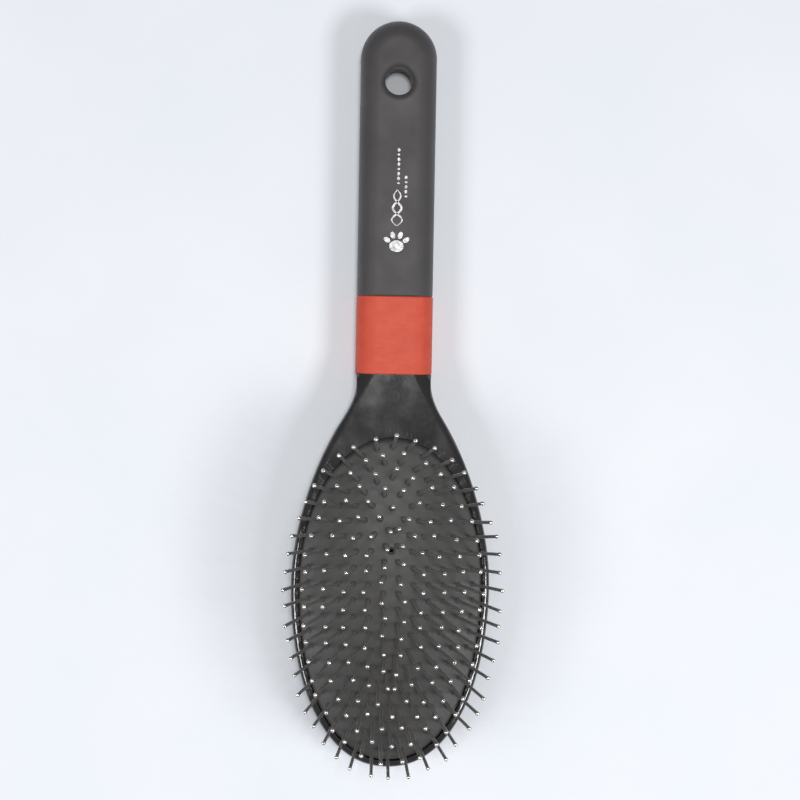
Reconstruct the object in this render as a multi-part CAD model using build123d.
from build123d import *
from build123d.topology import SkipClean

import math
import os
import random

# Pin brush for coats: an air-cushioned rubber pad full of wire pins, in the cupped head of a plastic
# body, whose tang carries a collar band and a soft grip with a hole to hang it by.
# Millimetres. The brush lies on its back: +Z is the way the pins point, +Y runs up the handle.
# Shapes are drawn about the head's widest point, and moved to the middle of the length on export.

# ---------------------------------------------------------------- driving dimensions
HEAD_HALF_WIDTH = 30.6      # at the head's widest point, y = 0
TIP_LENGTH = 57.6           # widest point to the tip
NECK_END = 63.8             # widest point to where the neck meets the collar
COLLAR_LENGTH = 24.1
GRIP_LENGTH = 84.5
HOLE_FROM_END = 18.8        # hang hole's centre to the end of the grip
HOLE_RADIUS = 4.2
HANDLE_THICKNESS = 15.0
DOME_HEIGHT = 5.5           # middle of the cushion above its seam
PIN_LENGTH = 21.8           # free length above the cushion
PIN_RADIUS = 0.5
RING_PINS = [48, 42, 36, 30, 24, 20]    # pins in each oval ring, outermost first
RING_PITCH = 4.6
PRESS_DEPTH = 3.0           # how far the innermost ring sinks when the cushion is pressed

# ---------------------------------------------------------------- head outline
TIP_EXPONENT = 2.18         # superellipse from the widest point to the tip
SHOULDER_LENGTH = 62.5      # semi-length of the superellipse towards the neck
SHOULDER_EXPONENT = 1.67
NECK_HALF_WIDTH = 11.6
NECK_BLEND = 7              # how tightly the shoulder runs into the neck
SHOULDER_STATIONS = 12
TIP_STATIONS = 6

# ---------------------------------------------------------------- head section
HEAD_THICKNESS = 14.7
BACK_ROUND = 6.5            # rounded edge of the back
RIM_ROUND = 1.6             # rounded top edge beside the cushion
NECK_ROUND = 6.4            # top edge of the neck at the collar, which fades out along the shoulder
NECK_SHAPE_HALF_WIDTH = 11.9
SHOULDER_SHAPE_HALF_WIDTH = 35.5
SHOULDER_SHAPE_START = 20.0

# ---------------------------------------------------------------- cushion
RIM_WIDTH = 2.2
PAD_HALF_WIDTH = HEAD_HALF_WIDTH - RIM_WIDTH
PAD_TIP_LENGTH = TIP_LENGTH - RIM_WIDTH
PAD_NECK_LENGTH = 44.5
PAD_NECK_EXPONENT = 2.0
PAD_STATIONS = 12
PAD_MIDDLE_Y = (PAD_NECK_LENGTH - PAD_TIP_LENGTH) / 2
SEAM_Z = 14.2               # where the dome leaves the rim
SKIRT_THICKNESS = 2.0
SKIRT_BOTTOM = 10.0
BEAD_HEIGHT = 2.0
BEAD_WIDTH = 0.6
RUBBER_THICKNESS = 2.0
CLOTH_THICKNESS = 0.8
CLOTH_MARGIN = 0.3          # bare rubber between the cloth and the skirt
VENT_RADIUS = 0.7
VENT_Y = 10.0
DOME_TOP = SEAM_Z + DOME_HEIGHT
DOME_DEPTH = 30.0           # how far the dome's body of revolution reaches below its top
DOME_SWEEP = 44.0           # degrees of it along the brush

# ---------------------------------------------------------------- pins
RING_MARGIN = 3.1           # cushion's edge to the outermost ring
PIN_HEAD_RADIUS = 1.3
PIN_HEAD_THICKNESS = 0.6
PIN_HEAD_DEPTH = 2.9        # top of the pin's head below the cushion's surface
PIN_TIP_RADIUS = 0.68       # small ball at the end of the wire
PIN_LEAN = 1.8              # most degrees that a pin stands off square, either way
RING_SAMPLES = 720          # short steps that a ring's length is measured in

# ---------------------------------------------------------------- chamber, tang, collar and grip
CHAMBER_FLOOR = 3.4
LEDGE = 0.6                 # cup ledge that the skirt stands on, beyond the skirt's inside
TANG_HALF_WIDTH = 6.8
TANG_THICKNESS = 7.6
TANG_ROUND = 2.4
TANG_LENGTH = 76.0
COLLAR_HALF_WIDTH = 11.8
GRIP_HALF_WIDTH = 11.7
EDGE_ROUND = 6.2            # lengthwise edges of the collar and the grip
END_ROUND = 0.5             # rims where the collar meets its neighbours
HOLE_ROUND = 2.0
FIT_GAP = 0.05
OVERCUT = 1.0               # how far a cutting shape runs past what it cuts

COLLAR_END = NECK_END + COLLAR_LENGTH
GRIP_END = COLLAR_END + GRIP_LENGTH
HOLE_Y = GRIP_END - HOLE_FROM_END
MIDDLE_Y = (GRIP_END - TIP_LENGTH) / 2


# ---------------------------------------------------------------- outlines
def superellipse(angle, half_width, length, exponent):
    """A point on the first quarter of a superellipse, from its side (0) to its end (pi / 2)."""
    x = half_width * max(0.0, math.cos(angle)) ** (2 / exponent)
    y = length * math.sin(angle) ** (2 / exponent)
    return x, y


def body_half_width(y):
    """Half-width of the shoulder and neck at y, from the widest point (0) up to the collar."""
    share = min(1.0, y / SHOULDER_LENGTH)
    shoulder = HEAD_HALF_WIDTH * (1 - share**SHOULDER_EXPONENT) ** (1 / SHOULDER_EXPONENT)
    return (shoulder**NECK_BLEND + NECK_HALF_WIDTH**NECK_BLEND) ** (1 / NECK_BLEND)


def head_outline():
    """The head and neck seen from above, open at the collar."""
    right = []
    for station in range(SHOULDER_STATIONS):
        y = NECK_END * (1 - station / SHOULDER_STATIONS)
        right.append((body_half_width(y), y))
    for station in range(TIP_STATIONS):
        angle = math.pi / 2 * station / TIP_STATIONS
        x, y = superellipse(angle, HEAD_HALF_WIDTH, TIP_LENGTH, TIP_EXPONENT)
        right.append((x, -y))
    left = [(-x, y) for x, y in reversed(right)]
    return right + [(0, -TIP_LENGTH)] + left


def oval_side(half_width, tip_length, neck_length, steps):
    """Points down the +X side of a cushion oval, from its neck end to its tip end."""
    points = [(0.0, neck_length)]
    for step in range(1, steps):
        angle = math.pi / 2 - math.pi * step / steps
        if angle >= 0:
            x, y = superellipse(angle, half_width, neck_length, PAD_NECK_EXPONENT)
        else:
            x, y = superellipse(-angle, half_width, tip_length, TIP_EXPONENT)
        points.append((x, math.copysign(y, angle)))
    return points + [(0.0, -tip_length)]


def pad_half(bottom, top, grow):
    """The +X half of the cushion's outline, grown outwards, between two heights."""
    sizes = (PAD_HALF_WIDTH + grow, PAD_TIP_LENGTH + grow, PAD_NECK_LENGTH + grow)
    points = [(x, y, bottom) for x, y in oval_side(*sizes, PAD_STATIONS)]
    half = make_face(Wire([Spline(*points), Line(points[-1], points[0])]))
    return extrude(half, top - bottom, dir=(0, 0, 1))


def both_sides(half):
    """A +X half and its mirror image."""
    return [half, mirror(half, Plane.YZ)]


def dome_radii():
    """Radii of the cushion's dome across and along the brush, which carry it down to the seam."""
    across = (PAD_HALF_WIDTH**2 + DOME_HEIGHT**2) / (2 * DOME_HEIGHT)
    half_length = (PAD_TIP_LENGTH + PAD_NECK_LENGTH) / 2
    along = (half_length**2 + DOME_HEIGHT**2) / (2 * DOME_HEIGHT)
    return across, along


def dome_z(x, y):
    """Height of the cushion's upper surface."""
    across, along = dome_radii()
    reach = along - across + math.sqrt(across**2 - x**2)
    return DOME_TOP - along + math.sqrt(reach**2 - (y - PAD_MIDDLE_Y) ** 2)


def dome_normal(x, y):
    """Unit vector square to the cushion's upper surface."""
    step = 0.05
    rise_x = (dome_z(x + step, y) - dome_z(x - step, y)) / (2 * step)
    rise_y = (dome_z(x, y + step) - dome_z(x, y - step)) / (2 * step)
    return Vector(-rise_x, -rise_y, 1).normalized()


def under_dome(drop):
    """Everything under the +X half of the cushion's upper surface, lowered by a distance."""
    across, along = dome_radii()
    half_width = PAD_HALF_WIDTH + 2 * RIM_WIDTH
    crown = ThreePointArc(*[
        (x, 0, math.sqrt(across**2 - x**2) - across) for x in (0, half_width / 2, half_width)
    ])
    profile = Wire([
        crown,
        Line(crown @ 1, (half_width, 0, -DOME_DEPTH)),
        Line((half_width, 0, -DOME_DEPTH), (0, 0, -DOME_DEPTH)),
        Line((0, 0, -DOME_DEPTH), crown @ 0),
    ])
    axis = Axis((0, 0, -along), (1, 0, 0))
    face = make_face(profile).rotate(axis, -DOME_SWEEP / 2)
    return Pos(0, PAD_MIDDLE_Y, DOME_TOP - drop) * revolve(face, axis, DOME_SWEEP)


# ---------------------------------------------------------------- pins
def ring_side(ring):
    """Where the pins of one ring stand on the +X side, evenly spaced along its oval."""
    margin = RING_MARGIN + RING_PITCH * ring
    sizes = (PAD_HALF_WIDTH - margin, PAD_TIP_LENGTH - margin, PAD_NECK_LENGTH - margin)
    track = oval_side(*sizes, RING_SAMPLES)
    walked = [0.0]
    for here, there in zip(track, track[1:]):
        walked.append(walked[-1] + math.dist(here, there))
    pitch = 2 * walked[-1] / RING_PINS[ring]
    # an even ring has a pin at each end of the brush's axis, and the next ring is staggered
    stagger = (ring % 2) / 2
    points = []
    sample = 1
    for place in range(RING_PINS[ring] // 2 + 1 - ring % 2):
        distance = min((place + stagger) * pitch, walked[-1])
        while walked[sample] < distance:
            sample += 1
        share = (distance - walked[sample - 1]) / (walked[sample] - walked[sample - 1])
        (x0, y0), (x1, y1) = track[sample - 1 : sample + 1]
        points.append((x0 + share * (x1 - x0), y0 + share * (y1 - y0)))
    return points


def pin_place(x, y, lean):
    """A pin's place: its own +Z is square to the cushion, but for a small lean."""
    plane = Plane(origin=(x, y, dome_z(x, y)), x_dir=(0, 1, 0), z_dir=dome_normal(x, y) + lean)
    return plane.location


def pin_places(ring):
    """The places of all pins of one ring, each leaning a little its own way."""
    side = ring_side(ring)
    mirrored = [(-x, y) for x, y in side if x > PIN_RADIUS]
    chance = random.Random(ring)
    most = math.tan(math.radians(PIN_LEAN))
    places = []
    for x, y in side + mirrored:
        lean = Vector(chance.uniform(-most, most), chance.uniform(-most, most), 0)
        places.append(pin_place(x, y, lean))
    return places


def one_pin():
    """A wire pin: a flat head under the pad, a straight shaft and a small ball at the tip."""
    foot = -PIN_HEAD_DEPTH - PIN_HEAD_THICKNESS
    centre = PIN_LENGTH - PIN_TIP_RADIUS
    neck = centre - math.sqrt(PIN_TIP_RADIUS**2 - PIN_RADIUS**2)
    outline = [
        Line((0, 0, foot), (PIN_HEAD_RADIUS, 0, foot)),
        Line((PIN_HEAD_RADIUS, 0, foot), (PIN_HEAD_RADIUS, 0, -PIN_HEAD_DEPTH)),
        Line((PIN_HEAD_RADIUS, 0, -PIN_HEAD_DEPTH), (PIN_RADIUS, 0, -PIN_HEAD_DEPTH)),
        Line((PIN_RADIUS, 0, -PIN_HEAD_DEPTH), (PIN_RADIUS, 0, neck)),
        ThreePointArc((PIN_RADIUS, 0, neck), (PIN_TIP_RADIUS, 0, centre), (0, 0, PIN_LENGTH)),
        Line((0, 0, PIN_LENGTH), (0, 0, foot)),
    ]
    return revolve(make_face(Wire(outline)), Axis.Z)


def pin_ring(ring):
    """All pins of one ring, which sink together."""
    pin = one_pin()
    return Compound([place * pin for place in pin_places(ring)])


def pad_holes():
    """What is drilled through the pad: a clearance hole for each pin, and a vent."""
    hole = Cylinder(PIN_RADIUS + FIT_GAP, 4 * RUBBER_THICKNESS)
    holes = [place * hole for ring in range(len(RING_PINS)) for place in pin_places(ring)]
    return holes + [Pos(0, VENT_Y, SEAM_Z) * Cylinder(VENT_RADIUS, 4 * DOME_HEIGHT)]


# ---------------------------------------------------------------- cushion
def whole_pad(half):
    """Drills a +X half of the pad and its mirror image, and joins them with their faces as they are."""
    holes = pad_holes()
    right, left = [side - holes for side in both_sides(half)]
    with SkipClean():
        return right + left


def rubber_cushion():
    """Domed pad on a skirt, with a bead round its foot, a vent and the pins' holes."""
    pad = pad_half(SKIRT_BOTTOM, DOME_TOP, 0) & under_dome(0)
    pad += pad_half(SKIRT_BOTTOM, SKIRT_BOTTOM + BEAD_HEIGHT, BEAD_WIDTH)
    pad -= pad_half(SKIRT_BOTTOM, DOME_TOP, -SKIRT_THICKNESS) & under_dome(RUBBER_THICKNESS)
    return whole_pad(pad)


def cushion_backing():
    """Woven cloth bonded under the pad, which the pins' heads bear on."""
    layer = pad_half(SKIRT_BOTTOM, DOME_TOP, -SKIRT_THICKNESS - CLOTH_MARGIN)
    layer &= under_dome(RUBBER_THICKNESS)
    layer -= under_dome(RUBBER_THICKNESS + CLOTH_THICKNESS)
    return whole_pad(layer)


# ---------------------------------------------------------------- body, collar and grip
def neck_shape_section(y, half_width):
    """Upright section of the space that the neck and shoulders keep within, round at its top edges."""
    flat = half_width - NECK_ROUND
    side_z = HEAD_THICKNESS - NECK_ROUND
    bottom = -OVERCUT
    outline = Wire([
        Line((-half_width, bottom), (half_width, bottom)),
        Line((half_width, bottom), (half_width, side_z)),
        CenterArc((flat, side_z), NECK_ROUND, 0, 90),
        Line((flat, HEAD_THICKNESS), (-flat, HEAD_THICKNESS)),
        CenterArc((-flat, side_z), NECK_ROUND, 90, 90),
        Line((-half_width, side_z), (-half_width, bottom)),
    ])
    return Plane(origin=(0, y, 0), x_dir=(1, 0, 0), z_dir=(0, -1, 0)) * make_face(outline)


def neck_trim():
    """What the round top edges of the neck and shoulders leave out."""
    start = SHOULDER_SHAPE_START
    kept = loft(
        [
            neck_shape_section(NECK_END + OVERCUT, NECK_SHAPE_HALF_WIDTH),
            neck_shape_section(start - OVERCUT, SHOULDER_SHAPE_HALF_WIDTH),
        ],
        ruled=True,
    )
    width = 2 * HEAD_HALF_WIDTH
    block = Box(width, NECK_END - start, NECK_ROUND + OVERCUT, align=(Align.CENTER, Align.MIN, Align.MIN))
    return Pos(0, start, HEAD_THICKNESS - NECK_ROUND) * block - kept


def head_body():
    """The head and neck, solid, with round edges."""
    points = head_outline()
    side = Spline(*points)
    flat = make_face(Wire([side, Line(points[-1], points[0])]))
    body = extrude(flat, HEAD_THICKNESS, dir=(0, 0, 1))
    back, top = body.faces().filter_by(GeomType.PLANE).filter_by(Axis.Z).sort_by(Axis.Z)
    body = fillet(top.edges().filter_by(GeomType.BSPLINE), RIM_ROUND)
    back = body.faces().filter_by(Axis.Z).sort_by(Axis.Z)[0]
    body = fillet(back.edges().filter_by(GeomType.BSPLINE), BACK_ROUND)
    return body - neck_trim()


def tang(gap):
    """The bar that the collar and the grip slide on, grown all round by a gap."""
    width = 2 * (TANG_HALF_WIDTH + gap)
    height = TANG_THICKNESS + 2 * gap
    length = TANG_LENGTH + gap
    bar = Box(width, length, height, align=(Align.CENTER, Align.MIN, Align.CENTER))
    bar = fillet(bar.edges().filter_by(Axis.Y), TANG_ROUND + gap)
    return Pos(0, NECK_END, HANDLE_THICKNESS / 2) * bar


def head_shell():
    """Cupped head, neck and tang in one moulding."""
    bead_top = SKIRT_BOTTOM + BEAD_HEIGHT + FIT_GAP
    shell = head_body()
    shell -= both_sides(pad_half(SKIRT_BOTTOM, HEAD_THICKNESS + OVERCUT, FIT_GAP))
    shell -= both_sides(pad_half(SKIRT_BOTTOM, bead_top, BEAD_WIDTH + FIT_GAP))
    shell -= both_sides(pad_half(CHAMBER_FLOOR, SKIRT_BOTTOM, -SKIRT_THICKNESS - LEDGE))
    return shell + tang(0)


def collar_band():
    """Plain sleeve between the neck and the grip."""
    height = Align.MIN
    band = Box(2 * COLLAR_HALF_WIDTH, COLLAR_LENGTH, HANDLE_THICKNESS, align=(Align.CENTER, Align.MIN, height))
    band = fillet(band.edges().filter_by(Axis.Y), EDGE_ROUND)
    ends = band.faces().filter_by(Axis.Y)
    band = fillet([edge for end in ends for edge in end.edges()], END_ROUND)
    return Pos(0, NECK_END, 0) * band - tang(FIT_GAP)


def handle_grip():
    """Soft sleeve with a round end and a hang hole, blind over the tang."""
    bend = GRIP_END - GRIP_HALF_WIDTH
    outline = Wire([
        Line((-GRIP_HALF_WIDTH, COLLAR_END), (GRIP_HALF_WIDTH, COLLAR_END)),
        Line((GRIP_HALF_WIDTH, COLLAR_END), (GRIP_HALF_WIDTH, bend)),
        CenterArc((0, bend), GRIP_HALF_WIDTH, 0, 180),
        Line((-GRIP_HALF_WIDTH, bend), (-GRIP_HALF_WIDTH, COLLAR_END)),
    ])
    grip = extrude(make_face(outline), HANDLE_THICKNESS, dir=(0, 0, 1))
    open_end = grip.faces().sort_by(Axis.Y)[0]
    flats = grip.faces().filter_by(Axis.Z)
    long_edges = [edge for flat in flats for edge in flat.edges() if edge not in open_end.edges()]
    grip = fillet(long_edges, EDGE_ROUND)
    open_end = grip.faces().filter_by(Axis.Y).sort_by(Axis.Y)[0]
    grip = fillet(open_end.edges(), END_ROUND)
    grip -= Pos(0, HOLE_Y, HANDLE_THICKNESS / 2) * Cylinder(HOLE_RADIUS, 2 * HANDLE_THICKNESS)
    hole_rims = grip.edges().filter_by(GeomType.CIRCLE).filter_by(
        lambda edge: abs(edge.radius - HOLE_RADIUS) < FIT_GAP
    )
    grip = fillet(hole_rims, HOLE_ROUND)
    return grip - tang(FIT_GAP)


def write(name, shape):
    """Save one piece, moved so that the middle of the brush is over the origin."""
    placed = Pos(0, -MIDDLE_Y, 0) * shape
    placed.label = name
    export_step(placed, f"parts/{name}.step")


os.makedirs("parts", exist_ok=True)
write("head_shell", head_shell())
write("rubber_cushion", rubber_cushion())
write("cushion_backing", cushion_backing())
write("collar_band", collar_band())
write("handle_grip", handle_grip())
for ring_index in range(len(RING_PINS)):
    write(f"pins_ring_{ring_index + 1}", pin_ring(ring_index))
